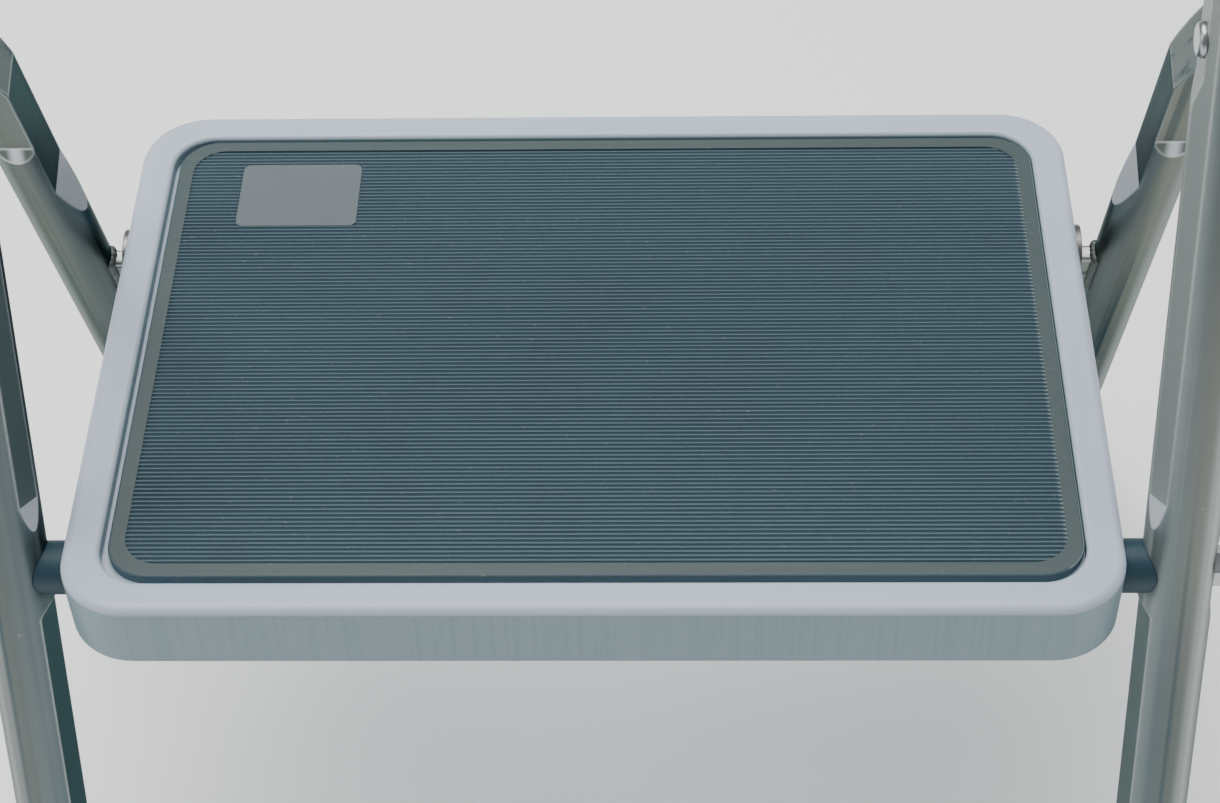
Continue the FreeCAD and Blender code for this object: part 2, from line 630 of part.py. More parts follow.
def rounded_rectangle(body, name, width, depth, corner, lift):
    """A sketched rectangle with round corners, centred on the body's origin."""
    sketch = new_sketch(body, name, "XY_Plane", lift)
    half_x, half_y = worked_out(body, width) / 2, worked_out(body, depth) / 2
    radius = worked_out(body, corner)
    side = half_x - radius
    end = half_y - radius
    ring = [(side, -end, -90), (side, end, 0), (-side, end, 90), (-side, -end, 180)]
    corners = []
    for x, y, start in ring:
        circle = Part.Circle(Vector(x, y, 0), Z_AXIS, radius)
        corners.append(Part.ArcOfCircle(circle, math.radians(start), math.radians(start + 90)))
    arcs = [sketch.addGeometry(arc) for arc in corners]
    lines = []
    for number, arc in enumerate(corners):
        following = corners[(number + 1) % 4]
        lines.append(sketch.addGeometry(Part.LineSegment(arc.EndPoint, following.StartPoint)))
    for number in range(4):
        sketch.addConstraint(Sketcher.Constraint("Tangent", arcs[number], 2, lines[number], 1))
        sketch.addConstraint(Sketcher.Constraint("Tangent", lines[number], 2, arcs[(number + 1) % 4], 1))
    for number in range(3):
        sketch.addConstraint(Sketcher.Constraint("Equal", arcs[0], arcs[number + 1]))
    right, rear, left, front = lines
    for line in (right, left):
        sketch.addConstraint(Sketcher.Constraint("Vertical", line))
    for line in (rear, front):
        sketch.addConstraint(Sketcher.Constraint("Horizontal", line))
    values = [("Radius", (arcs[0],), radius, "corner", corner),
              ("DistanceX", (-1, 1, right, 1), half_x, "right", f"({width}) / 2"),
              ("DistanceX", (left, 1, right, 1), 2 * half_x, "width", width),
              ("DistanceY", (-1, 1, rear, 1), half_y, "rear", f"({depth}) / 2"),
              ("DistanceY", (front, 1, rear, 1), 2 * half_y, "depth", depth)]
    for kind, where, start, label, expression in values:
        index = sketch.addConstraint(Sketcher.Constraint(kind, *where, start))
        sketch.renameConstraint(index, label)
        sketch.setExpression(f"Constraints.{label}", expression)
    return sketch


def pad(body, name, sketch, length, both=False):
    feature = body.newObject("PartDesign::Pad", name)
    feature.Profile = sketch
    if both:
        feature.SideType = "Symmetric"
    bind(feature, "Length", length)
    doc.recompute()
    return feature


def pocket(body, name, sketch, depth):
    """Cut down from the sketch, and make sure that something was cut."""
    before = body.Shape.Volume
    feature = body.newObject("PartDesign::Pocket", name)
    feature.Profile = sketch
    bind(feature, "Length", depth)
    doc.recompute()
    if body.Shape.Volume >= before:
        raise ValueError(f"{name} cut nothing")
    return feature


def edge_names(shape, keep):
    return [f"Edge{i + 1}" for i, edge in enumerate(shape.Edges) if keep(edge)]


def round_edges(body, name, base, radius, keep):
    feature = body.newObject("PartDesign::Fillet", name)
    feature.Base = (base, edge_names(base.Shape, keep))
    bind(feature, "Radius", radius)
    doc.recompute()
    return feature


def tray():
    """The pressed step: rounded rim, recess for the mat and a skirt, all of one sheet."""
    body = new_body("tray_shell", STEP_MID_Y, size("tread_height"))
    bottom = "Dimensions.rim_rise - Dimensions.skirt_depth"
    outline = rounded_rectangle(body, "tray_outline", "Dimensions.step_width", "Dimensions.step_depth",
                                "Dimensions.step_corner", bottom)
    block = pad(body, "tray_block", outline, "Dimensions.skirt_depth")
    recess = rounded_rectangle(body, "recess_outline", "Dimensions.step_width - 2 * Dimensions.rim_width",
                               "Dimensions.step_depth - 2 * Dimensions.rim_width",
                               "Dimensions.recess_corner", "Dimensions.rim_rise")
    hollow = pocket(body, "mat_recess", recess, "Dimensions.rim_rise + Dimensions.mat_thickness")

    top = size("rim_rise")
    recess_x = size("step_width") / 2 - size("rim_width")
    recess_rear = size("step_depth") / 2 - size("rim_width")

    def on_top(edge):
        return abs(edge.BoundBox.ZMin - top) < 0.01 and abs(edge.BoundBox.ZMax - top) < 0.01

    def on_rim(edge):
        box_ = edge.BoundBox
        inside = max(abs(box_.XMin), abs(box_.XMax)) < recess_x + 0.1 and box_.YMax < recess_rear + 0.1
        return on_top(edge) and not inside

    outer = round_edges(body, "rim_outer", hollow, "Dimensions.rim_outer_round", on_rim)
    inner = round_edges(body, "rim_inner", outer, "Dimensions.rim_inner_round",
                        lambda edge: on_top(edge) and edge.BoundBox.YMax < recess_rear + 0.1
                        and max(abs(edge.BoundBox.XMin), abs(edge.BoundBox.XMax)) < recess_x + 0.1)
    floor_z = size("rim_rise") - size("skirt_depth")
    under = [f"Face{i + 1}" for i, face in enumerate(inner.Shape.Faces)
             if abs(face.BoundBox.ZMin - floor_z) < 0.01 and abs(face.BoundBox.ZMax - floor_z) < 0.01]
    shell = body.newObject("PartDesign::Thickness", "tray_sheet")
    shell.Base = (inner, under)
    bind(shell, "Value", "Dimensions.sheet_thickness")
    shell.Reversed = True
    shell.Join = "Intersection"
    doc.recompute()
    bolt_hole = cylinder("tray_bolt_hole", BOLT_RUN, 2 * LEG_X, along_x(-LEG_X, PIVOT_Y, PIVOT_Z))
    rivet_hole = cylinder("tray_rivet_hole", size("hook_rivet_diameter") / 2 + size("fixed_clearance"),
                          2 * LEG_X, along_x(-LEG_X, BAR_TOP_Y, BAR_TOP_Z + size("hook_rivet_rise")))
    notch = bar_room("tray_notch", size("notch_gap"), size("notch_lead"))
    node(cut("step_tray", body, [bolt_hole, rivet_hole, notch]), "step_tray")


def label_place():
    """The middle of the label panel, from the mat's left and rear edges."""
    x = MAT_MID_X - size("mat_width") / 2 + size("label_side_inset") + size("label_width") / 2
    y = MAT_MID_Y + size("mat_depth") / 2 - size("label_rear_inset") - size("label_depth") / 2
    return x, y


def mat():
    """The rubber mat: a smooth border round a field of fine ribs, with a window for the label panel."""
    body = new_body("tread_mat", MAT_MID_Y, size("tread_height"), MAT_MID_X)
    outline = rounded_rectangle(body, "mat_outline", "Dimensions.mat_width", "Dimensions.mat_depth",
                                "Dimensions.mat_corner", "-Dimensions.mat_thickness")
    slab = pad(body, "mat_slab", outline, "Dimensions.mat_thickness")
    slab = round_edges(body, "mat_edge", slab, "Dimensions.mat_edge_round",
                       lambda edge: abs(edge.BoundBox.ZMin) < 0.01 and abs(edge.BoundBox.ZMax) < 0.01)
    field = rounded_rectangle(body, "field_outline", "Dimensions.mat_width - 2 * Dimensions.mat_border",
                              "Dimensions.mat_depth - 2 * Dimensions.mat_border",
                              "Dimensions.mat_corner - Dimensions.mat_border / 2", "0")
    pocket(body, "rib_field", field, "Dimensions.rib_height + Dimensions.rib_drop")

    field_depth = size("mat_depth") - 2 * size("mat_border")
    count = int(field_depth / size("rib_pitch"))
    first = -(count - 1) / 2 * size("rib_pitch")
    foot_half, crest_half = size("rib_foot") / 2, size("rib_crest") / 2
    crest_z = -size("rib_drop")
    foot_z = crest_z - size("rib_height")
    profile = new_sketch(body, "rib_profile", "YZ_Plane")
    corners = [Vector(first - foot_half, foot_z, 0), Vector(first + foot_half, foot_z, 0),
               Vector(first + crest_half, crest_z, 0), Vector(first - crest_half, crest_z, 0)]
    for number, corner in enumerate(corners):
        profile.addGeometry(Part.LineSegment(corner, corners[(number + 1) % 4]))
    for number in range(4):
        profile.addConstraint(Sketcher.Constraint("Coincident", number, 2, (number + 1) % 4, 1))
    rib = pad(body, "rib", profile, "Dimensions.mat_width - 2 * Dimensions.mat_border", both=True)
    ribs = body.newObject("PartDesign::LinearPattern", "ribs")
    ribs.Originals = [rib]
    ribs.Direction = (origin_plane(body, "Y_Axis"), [""])
    ribs.Length = (count - 1) * size("rib_pitch")
    ribs.Occurrences = count
    body.Tip = ribs
    doc.recompute()

    x, y = label_place()
    window = rounded_rectangle(body, "label_window", "Dimensions.label_width + 2 * Dimensions.label_gap",
                               "Dimensions.label_depth + 2 * Dimensions.label_gap",
                               "Dimensions.label_corner + Dimensions.label_gap", "0")
    window.AttachmentOffset.Base = Vector(x - MAT_MID_X, y - MAT_MID_Y, 0)
    pocket(body, "label_recess", window, "Dimensions.rib_height + Dimensions.rib_drop")
    node(body, "tread_mat")


def label_panel():
    """The plain panel that lies in the mat's window, level with the ribs."""
    x, y = label_place()
    body = new_body("label_panel", y, size("tread_height"), x)
    outline = rounded_rectangle(body, "label_outline", "Dimensions.label_width", "Dimensions.label_depth",
                                "Dimensions.label_corner", "-Dimensions.rib_height - Dimensions.rib_drop")
    pad(body, "label_plate", outline, "Dimensions.rib_height")
    node(body, "label_panel")


# The hand rail.
def rail_rivet_place(side):
    """A frame on the front leg's axis at the rail rivet, whose Z runs out of the back of the leg."""
    rivet = Placement(Vector(0, 0, FRONT_TOP - size("rail_rivet_drop")), Rotation(X_AXIS, -90))
    return front_frame_place(side * LEG_X).multiply(rivet)


def hand_rail():
    """A bow in the plane of the front legs, with spigots that plug into their tops."""
    top = FRONT_TOP + size("rail_rise")
    bend = size("rail_bend")
    straight = LEG_X - bend
    path = doc.addObject("Sketcher::SketchObject", "rail_path")
    path.Placement = front_frame_place(0).multiply(Placement(Vector(), Rotation(X_AXIS, 90)))
    left_bend = Part.Circle(Vector(-straight, top - bend, 0), Z_AXIS, bend)
    right_bend = Part.Circle(Vector(straight, top - bend, 0), Z_AXIS, bend)
    path.addGeometry(Part.LineSegment(Vector(-LEG_X, FRONT_TOP, 0), Vector(-LEG_X, top - bend, 0)))
    path.addGeometry(Part.ArcOfCircle(left_bend, math.pi / 2, math.pi))
    path.addGeometry(Part.LineSegment(Vector(-straight, top, 0), Vector(straight, top, 0)))
    path.addGeometry(Part.ArcOfCircle(right_bend, 0, math.pi / 2))
    path.addGeometry(Part.LineSegment(Vector(LEG_X, top - bend, 0), Vector(LEG_X, FRONT_TOP, 0)))
    for number in range(4):
        this_end = 1 if number in (1, 3) else 2
        next_end = 2 if number in (0, 2) else 1
        path.addConstraint(Sketcher.Constraint("Coincident", number, this_end, number + 1, next_end))
    doc.recompute()
    tubes = []
    for part, radius in (("outside", FRONT_RADIUS), ("inside", FRONT_RADIUS - size("rail_wall"))):
        ring = doc.addObject("Part::Circle", f"rail_{part}_ring")
        ring.Radius = radius
        ring.Placement = moved(front_frame_place(-LEG_X), 0, 0, FRONT_TOP)
        sweep = doc.addObject("Part::Sweep", f"rail_{part}")
        sweep.Sections = [ring]
        sweep.Spine = (path, [f"Edge{number + 1}" for number in range(5)])
        sweep.Solid = True
        tubes.append(sweep)
    spigot_radius = FRONT_RADIUS - WALL - size("fixed_clearance")
    spigots = []
    bores = []
    length = size("rail_spigot") + size("rail_spigot_root")
    for side_name, side in SIDES.items():
        root = moved(front_frame_place(side * LEG_X), 0, 0, SPIGOT_BOTTOM)
        spigots.append(cylinder(f"rail_{side_name}_spigot", spigot_radius, length, root))
        bores.append(cylinder(f"rail_{side_name}_spigot_bore", spigot_radius - size("rail_wall"),
                              length + OVERCUT, moved(root, 0, 0, -OVERCUT / 2)))
        bores.append(cylinder(f"rail_{side_name}_rivet_hole", RAIL_RIVET_FIT, 2 * FRONT_RADIUS,
                              rail_rivet_place(side)))
    bow = cut("rail_tube", tubes[0], [tubes[1]])
    node(cut("hand_rail", fuse("rail_blank", [bow] + spigots), bores), "hand_rail")


def rail_rivet(side_name, side):
    """A small rivet at the back of the leg that holds the rail's spigot."""
    place = rail_rivet_place(side)
    high = size("rivet_head_height")
    grip = WALL + size("rail_wall") + high
    shank = cylinder(f"{side_name}_rail_rivet_shank", "Dimensions.rail_rivet_diameter / 2", grip,
                     moved(place, 0, 0, FRONT_RADIUS - grip))
    head = cylinder(f"{side_name}_rail_rivet_head", "Dimensions.rail_rivet_diameter", high,
                    moved(place, 0, 0, FRONT_RADIUS))
    crown = place.multVec(Vector(0, 0, FRONT_RADIUS + high))
    head = rounded(f"{side_name}_rail_rivet_crown", head, CROWN_SHARE * high,
                   lambda edge: edge.CenterOfMass.isEqual(crown, 0.05))
    return fuse(f"{side_name}_rail_rivet", [shank, head])


plate_rivets = []
hook_rivets = []
rail_rivets = []
for side_name, side in SIDES.items():
    front_leg(side_name, side)
    rear_leg(side_name, side)
    foot(f"front_{side_name}_foot", front_frame_place(side * LEG_X), FRONT_RADIUS, FRONT_BOTTOM)
    foot(f"rear_{side_name}_foot", rear_frame_place(side * LEG_X), REAR_RADIUS, REAR_BOTTOM)
    plate_rivets += hinge_set(side_name, side)
    pivot_set(side_name, side)
    hook_rivets.append(rest_hook(side_name, side))
    rail_rivets.append(rail_rivet(side_name, side))
node(group("hinge_plate_rivets", plate_rivets), "hinge_plate_rivets")
node(group("hook_rivets", hook_rivets), "hook_rivets")
node(group("rail_rivets", rail_rivets), "rail_rivets")
hand_rail()
rest_bar()
lower_brace()
tray()
mat()
label_panel()
doc.recompute()

failed = [obj.Name for obj in doc.Objects if {"Invalid", "Error"} & set(obj.State)]
if failed:
    raise ValueError(f"failed objects: {failed}")
for obj in NODES:
    if obj.Shape.isNull() or not obj.Shape.isValid() or not obj.Shape.Solids:
        raise ValueError(f"bad shape: {obj.Label}")
for obj in NODES:
    obj.Shape.exportStep(f"parts/{obj.Label}.step")
    print(obj.Label, len(obj.Shape.Solids), "solids", round(obj.Shape.Volume), "mm3")
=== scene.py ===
"""Looks of the folding step stool: finishes for the CAD nodes, weld beads, floor, light and camera."""
import json
import math

import bpy
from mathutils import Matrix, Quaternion, Vector


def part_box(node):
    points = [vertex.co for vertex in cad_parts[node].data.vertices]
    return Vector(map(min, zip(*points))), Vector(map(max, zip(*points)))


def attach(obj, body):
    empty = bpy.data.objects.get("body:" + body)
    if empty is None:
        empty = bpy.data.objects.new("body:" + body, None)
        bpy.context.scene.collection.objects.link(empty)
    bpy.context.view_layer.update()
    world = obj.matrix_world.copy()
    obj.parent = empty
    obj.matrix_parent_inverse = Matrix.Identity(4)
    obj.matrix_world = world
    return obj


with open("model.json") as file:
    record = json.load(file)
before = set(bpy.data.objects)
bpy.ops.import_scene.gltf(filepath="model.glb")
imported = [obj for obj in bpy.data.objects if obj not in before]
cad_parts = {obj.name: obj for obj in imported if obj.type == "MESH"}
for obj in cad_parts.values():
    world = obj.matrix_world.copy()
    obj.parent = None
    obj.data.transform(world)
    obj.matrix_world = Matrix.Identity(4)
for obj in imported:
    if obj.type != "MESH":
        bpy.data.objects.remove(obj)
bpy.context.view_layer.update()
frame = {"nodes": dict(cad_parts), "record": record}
nodes = frame["nodes"]

# Lengths in metres, in the frame of the CAD.
FRONT_LEAN = math.radians(16.6)
REAR_LEAN = math.radians(20.5)
MAT_LOW, MAT_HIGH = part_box("tread_mat")
MAT_MIDDLE = (MAT_LOW + MAT_HIGH) / 2
TRAY_LOW, TRAY_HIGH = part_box("step_tray")
TRAY_MIDDLE = (TRAY_LOW + TRAY_HIGH) / 2
TRAY_HALF = (TRAY_HIGH - TRAY_LOW) / 2
RIM_EDGE = 0.010
LEG_X = 0.2125
PIVOT_HEIGHT = 0.225
RIB_DROP = 0.0002
RIB_HEIGHT = 0.001
RIB_END = 0.0018
MAT_BORDER = 0.006

# Where painted light and shade on the tubes change: at the bush, up the right leg, towards the rail and from
# side to side.
BUSH_FADE = 0.016
BRIGHT_LOW = 0.16
BRIGHT_HIGH = 0.26
RAIL_LOW = 0.44
RAIL_HIGH = 0.52
SIDE_FADE = 0.15
GLINT_WIDTH = 0.004
GLINT_CORE = 0.0005

# Radii that edges are rounded to in the light, and how high dust reaches on the feet.
TUBE_EDGE = 0.0016
SMALL_EDGE = 0.0006
FOOT_EDGE = 0.0008
DUST_HEIGHT = 0.014

# How far a softened normal turns away at a faint and at a full crease.
CREASE_FAINT = 0.001
CREASE_FULL = 0.012


class Signal:
    """A shader socket that takes part in Python arithmetic."""

    def __init__(self, finish, socket):
        self.finish = finish
        self.socket = socket

    def maths(self, operation, left, right=0.0):
        return self.finish.node("ShaderNodeMath", {"operation": operation}, {0: left, 1: right})

    def __add__(self, other):
        return self.maths("ADD", self, other)

    def __radd__(self, other):
        return self.maths("ADD", other, self)

    def __sub__(self, other):
        return self.maths("SUBTRACT", self, other)

    def __rsub__(self, other):
        return self.maths("SUBTRACT", other, self)

    def __mul__(self, other):
        return self.maths("MULTIPLY", self, other)

    def __rmul__(self, other):
        return self.maths("MULTIPLY", other, self)

    def __gt__(self, other):
        return self.maths("GREATER_THAN", self, other)

    def __abs__(self):
        return self.maths("ABSOLUTE", self)


class Finish:
    """A procedural finish: a Principled shader and the nodes that feed it."""

    def __init__(self, name, **constants):
        self.material = bpy.data.materials.new(name)
        self.material.use_nodes = True
        self.tree = self.material.node_tree
        self.shader = self.tree.nodes["Principled BSDF"]
        for socket, value in constants.items():
            self.shader.inputs[socket.replace("_", " ")].default_value = value
        self.place = self.node("ShaderNodeTexCoord", output="Object")

    def node(self, kind, settings=None, inputs=None, output=0):
        """Add a node with its settings and its sockets' values or links, and give one of its outputs."""
        made = self.tree.nodes.new(kind)
        for setting, value in (settings or {}).items():
            setattr(made, setting, value)
        for socket, value in (inputs or {}).items():
            if isinstance(value, Signal):
                self.tree.links.new(value.socket, made.inputs[socket])
            else:
                made.inputs[socket].default_value = value
        return Signal(self, made.outputs[output])

    def feed(self, **signals):
        """Link varying values to the shader."""
        for socket, signal in signals.items():
            self.tree.links.new(signal.socket, self.shader.inputs[socket.replace("_", " ")])

    def axis(self, number, vector=None):
        """One coordinate of a vector, the place on the piece by default."""
        return self.node("ShaderNodeSeparateXYZ", inputs={0: vector or self.place}, output=number)

    def turned(self, vector, angle):
        """A place or direction, turned about X so that Z runs along a leaning leg."""
        return self.node("ShaderNodeMapping", {"vector_type": "VECTOR"},
                         {"Vector": vector, "Rotation": (angle, 0, 0)})

    def noise(self, scale, stretch=(1, 1, 1), detail=2.0, vector=None):
        """Noise from 0 to 1, with so many cells to the metre along each axis."""
        spread = self.node("ShaderNodeMapping", {"vector_type": "POINT"},
                           {"Vector": vector or self.place, "Scale": tuple(scale * s for s in stretch)})
        return self.node("ShaderNodeTexNoise", inputs={"Vector": spread, "Scale": 1.0, "Detail": detail})

    def band(self, signal, low, high):
        """0 below low, 1 above high and a smooth step between."""
        return self.node("ShaderNodeMapRange", {"interpolation_type": "SMOOTHSTEP"},
                         {"Value": signal, "From Min": low, "From Max": high})

    def blend(self, factor, first, second):
        """A colour between two others."""
        return self.node("ShaderNodeMix", {"data_type": "RGBA"},
                         {0: factor, 6: self.colour(first), 7: self.colour(second)}, output=2)

    @staticmethod
    def colour(value):
        """A colour with its alpha, or a signal as it is."""
        return value if isinstance(value, Signal) else (*value, 1)

    def softened(self, radius):
        """The normal, with edges rounded to a radius."""
        return self.node("ShaderNodeBevel", {"samples": 6}, {"Radius": radius})

    def crease(self, soft):
        """1 at the piece's edges, from how far the softened normal turns away there."""
        sharp = self.node("ShaderNodeNewGeometry", output="Normal")
        same = self.node("ShaderNodeVectorMath", {"operation": "DOT_PRODUCT"}, {0: soft, 1: sharp},
                         output="Value")
        return self.band(1 - same, CREASE_FAINT, CREASE_FULL)

    def bump(self, height, distance, strength=1.0, soft=None):
        """A normal with fine relief, on a softened one where that is given."""
        inputs = {"Height": height, "Distance": distance, "Strength": strength}
        if soft:
            inputs["Normal"] = soft
        return self.node("ShaderNodeBump", inputs=inputs)


def powder_coat():
    """Pale blue-grey satin coat on the tray with faint streaks, a painted pale-blue highlight along its outer
    edges and painted shade on the upright skirt.
    """
    coat = Finish("tray_powder_coat", IOR=1.5)
    cloud = coat.noise(9, detail=3)
    streaks = coat.noise(1, stretch=(600, 600, 9), detail=3)
    peel = coat.noise(1500, detail=1)
    normal = coat.node("ShaderNodeNewGeometry", output="Normal")
    upright = 1 - coat.band(abs(coat.axis(2, normal)), 0.06, 0.40)
    tone = coat.blend(cloud, (0.435, 0.525, 0.615), (0.495, 0.575, 0.66))
    beside = abs(coat.axis(0) - TRAY_MIDDLE.x)
    before = abs(coat.axis(1) - TRAY_MIDDLE.y)
    between = 1 - coat.band(beside, TRAY_HALF.x - RIM_EDGE, TRAY_HALF.x)
    within = 1 - coat.band(before, TRAY_HALF.y - RIM_EDGE, TRAY_HALF.y)
    # Painted highlight: the outer edge band of the tray is painted paler and bluer.
    painted_edge_highlight = coat.blend(0.7 * (1 - between * within), tone, (0.52, 0.585, 0.70))
    # Painted shade: upright faces such as the skirt are painted darker, with faint vertical streaks.
    streaks_and_painted_shading = coat.blend(upright * (0.76 + 0.07 * coat.band(streaks, 0.35, 0.75)), painted_edge_highlight,
                          (0.150, 0.254, 0.278))
    coat.feed(Base_Color=streaks_and_painted_shading, Roughness=0.36 + 0.10 * cloud + 0.06 * peel,
              Normal=coat.bump(peel + 0.4 * streaks * upright, 0.00006, 0.5))
    return coat.material


def ribbed_rubber():
    """Slate rubber ribs with painted light in the grooves, a painted highlight at their right ends, a smooth
    olive-grey border and specks of dust.
    """
    rubber = Finish("tread_rubber", IOR=1.5)
    height = rubber.axis(2)
    crest = rubber.band(height, MAT_HIGH.z - RIB_DROP - RIB_HEIGHT, MAT_HIGH.z - RIB_DROP)
    border = height > MAT_HIGH.z - RIB_DROP / 2
    ripple = rubber.noise(1, stretch=(14, 420, 14), detail=2)
    cloud = rubber.noise(16, detail=4)
    grain = rubber.noise(2600, detail=1)
    specks = rubber.band(rubber.noise(520, detail=1), 0.72, 0.78)
    # Painted highlight: the right ends of the ribs are painted pale where they would catch the light.
    ends = rubber.band(rubber.axis(0), MAT_HIGH.x - MAT_BORDER - RIB_END, MAT_HIGH.x - MAT_BORDER)
    # Painted light: the grooves between the ribs are painted paler than the crests to offset their shadow.
    slate_with_painted_groove_light = rubber.blend(crest, (0.104, 0.172, 0.212), (0.053, 0.096, 0.122))
    patches = rubber.band(rubber.noise(24, detail=2), 0.50, 0.66)
    ribs = rubber.blend(patches * 0.25, slate_with_painted_groove_light, (0.062, 0.110, 0.118))
    # Crests paler in places from wear.
    lightened = rubber.blend(rubber.band(ripple, 0.45, 0.85) * crest * 0.25, ribs, (0.10, 0.15, 0.17))
    rib_end_highlight = rubber.blend(ends * crest, lightened, (0.20, 0.26, 0.27))
    edge = rubber.blend(cloud, (0.040, 0.064, 0.067), (0.052, 0.077, 0.078))
    clean = rubber.blend(border, rib_end_highlight, edge)
    rubber.feed(Base_Color=rubber.blend(specks * (0.22 - 0.12 * border), clean, (0.34, 0.38, 0.38)),
                Roughness=0.60 + 0.14 * grain - 0.14 * border,
                Normal=rubber.bump(ripple + 0.15 * grain, 0.00025, 0.6))
    return rubber.material


def label_film():
    """Matt grey film, bare, a little scuffed."""
    film = Finish("label_film", IOR=1.46)
    cloud = film.noise(60, detail=4)
    scuffs = film.band(film.noise(1, stretch=(40, 900, 40), detail=2), 0.66, 0.8)
    tone = film.blend(cloud, (0.098, 0.121, 0.134), (0.116, 0.140, 0.153))
    film.feed(Base_Color=film.blend(scuffs * 0.3, tone, (0.19, 0.21, 0.22)), Roughness=0.46 + 0.12 * cloud,
              Normal=film.bump(film.noise(1800, detail=1), 0.00004, 0.4))
    return film.material


def drawn_metal(name, olive, blue, lean=None, matt=0.0):
    """Mill-finish tube: streaks along it and nicks, with painted reflection colours by facing, painted light
    and shade on its sides and on its pressed flats and ramps, and painted highlights along its creases.

    lean turns the streaks along a leg, and matt is how dull its inner flats are.
    """
    metal = Finish(name, Specular_Tint=(0.30, 0.33, 0.33, 1))
    normal = metal.node("ShaderNodeNewGeometry", output="Normal")
    if lean is None:
        along, rise = metal.place, 0.0
        fine, broad = (9, 900, 900), (1.2, 150, 150)
    else:
        along, rise = metal.turned(metal.place, lean), metal.axis(2, metal.turned(normal, lean))
        fine, broad = (900, 900, 9), (150, 150, 1.2)
    lines = metal.noise(1, stretch=fine, detail=3, vector=along)
    stain = metal.noise(1, stretch=broad, detail=4, vector=along)
    cloud = metal.noise(26, detail=4)
    nicks = metal.band(metal.noise(1, stretch=(330, 330, 190), detail=2), 0.74, 0.80)
    inward = metal.axis(0, normal) * (1 - 2 * (metal.axis(0) > 0))
    right = metal.band(metal.axis(0), -SIDE_FADE, SIDE_FADE)
    painted_light_zone = right * metal.band(metal.axis(2), BRIGHT_LOW, BRIGHT_HIGH)
    beside = abs(abs(metal.axis(0)) - LEG_X)
    soft = metal.softened(TUBE_EDGE)
    # The pressed stretches, told apart by how far the surface faces inward and up the leg.
    inner_ramp = metal.band(inward, 0.85, 0.95) * metal.band(rise, 0.04, 0.10) * metal.band(rise, 0.19, 0.175)
    corner = metal.band(inward, 0.82, 0.86) * metal.band(inward, 0.94, 0.91)
    corner_ramp = corner * metal.band(rise, 0.03, 0.06)
    front_ramp = metal.band(inward, 0.5, 0.2) * metal.band(rise, 0.3, 0.4)
    glint = front_ramp * metal.band(beside, GLINT_WIDTH, GLINT_CORE)
    side_flat = matt * metal.band(inward, 0.905, 0.945)
    upper_flat = matt * metal.band(inward, 0.955, 0.915) * (
        0.55 * metal.band(inward, 0.30, 0.80) + 0.45 * metal.band(inward, 0.84, 0.88))
    below = metal.band(metal.axis(2), PIVOT_HEIGHT, PIVOT_HEIGHT - BUSH_FADE)
    # The colours, from the bare tube through painted reflection, light and shade to painted highlights along
    # its creases.
    # Painted reflection: faces turned inward are painted blue and faces turned outward olive, the boundary
    # broken up by stains.
    painted_reflection_tint = metal.blend(metal.band(inward + 0.8 * (stain - 0.5), -0.1, 0.5), olive, blue)
    tone = metal.blend(metal.band(cloud, 0.40, 0.75) * 0.5, painted_reflection_tint, (0.20, 0.215, 0.21))
    # Painted light: the right tubes above the step are painted paler, with lighter streaks. Painted shade:
    # the rest is painted darker, with dark stains.
    streaks_and_painted_shading = metal.blend(metal.band(stain, 0.53, 0.68) * 0.45 + 0.25 * painted_light_zone, tone, (0.25, 0.275, 0.27))
    stains_and_painted_shade = metal.blend(metal.band(stain, 0.47, 0.36) * 0.6 + 0.42 * (1 - painted_light_zone), streaks_and_painted_shading,
                         (0.070, 0.096, 0.108))
    # Painted light and shade by facing: faces turned outward, backward or up at the rail are painted a paler
    # tone than the inward, forward faces.
    outside = metal.band(inward, -0.25, -0.70)
    behind = metal.band(metal.axis(1, normal), 0.10, 0.60)
    aloft = metal.band(metal.axis(2), RAIL_LOW, RAIL_HIGH)
    open_side = 1 - (1 - outside) * (1 - behind) * (1 - aloft)
    clear = metal.blend(metal.band(stain, 0.35, 0.65), (0.34, 0.37, 0.36), (0.50, 0.53, 0.51))
    open_sides_unshaded = metal.blend(open_side * 0.75, stains_and_painted_shade, clear)
    # Painted shade: flats turned inward are painted dark teal below the rail.
    flats = metal.blend(metal.band(inward, 0.93, 0.99) * 0.85 * (1 - aloft), open_sides_unshaded, (0.080, 0.112, 0.116))
    # Painted light and shade: the matt flats of the front legs are painted paler on the right leg than on the
    # left, and darker below the bush.
    upper = metal.blend(upper_flat, flats, metal.blend(right, (0.11, 0.15, 0.155), (0.31, 0.35, 0.335)))
    above_side = metal.blend(right, (0.15, 0.18, 0.18), (0.27, 0.30, 0.29))
    below_side = metal.blend(right, (0.10, 0.15, 0.155), (0.14, 0.19, 0.185))
    pressed = metal.blend(side_flat, upper, metal.blend(below, above_side, below_side))
    # Painted shade on the front ramps, and painted highlights on ramps turned up and a glint at the middle of
    # the front ramps.
    dimmed = metal.blend(front_ramp * 0.8, pressed, (0.10, 0.12, 0.11))
    lit = metal.blend(0.9 * inner_ramp + 0.7 * corner_ramp + 0.9 * glint, dimmed, (0.62, 0.65, 0.70))
    # Painted highlight: a pale line along the creases, where the softened normal turns away.
    lightened = metal.blend(metal.crease(soft) * 0.8, lit, (0.58, 0.61, 0.59))
    metal.feed(Base_Color=metal.blend(nicks * 0.4, lightened, (0.50, 0.52, 0.50)),
               Metallic=1 - 0.75 * inner_ramp - 0.7 * (side_flat * right * (1 - 0.5 * below) + upper_flat),
               Roughness=0.22 + 0.14 * lines + 0.08 * cloud + 0.15 * nicks,
               Normal=metal.bump(lines + 0.6 * nicks, 0.00005, 0.5, soft))
    return metal.material


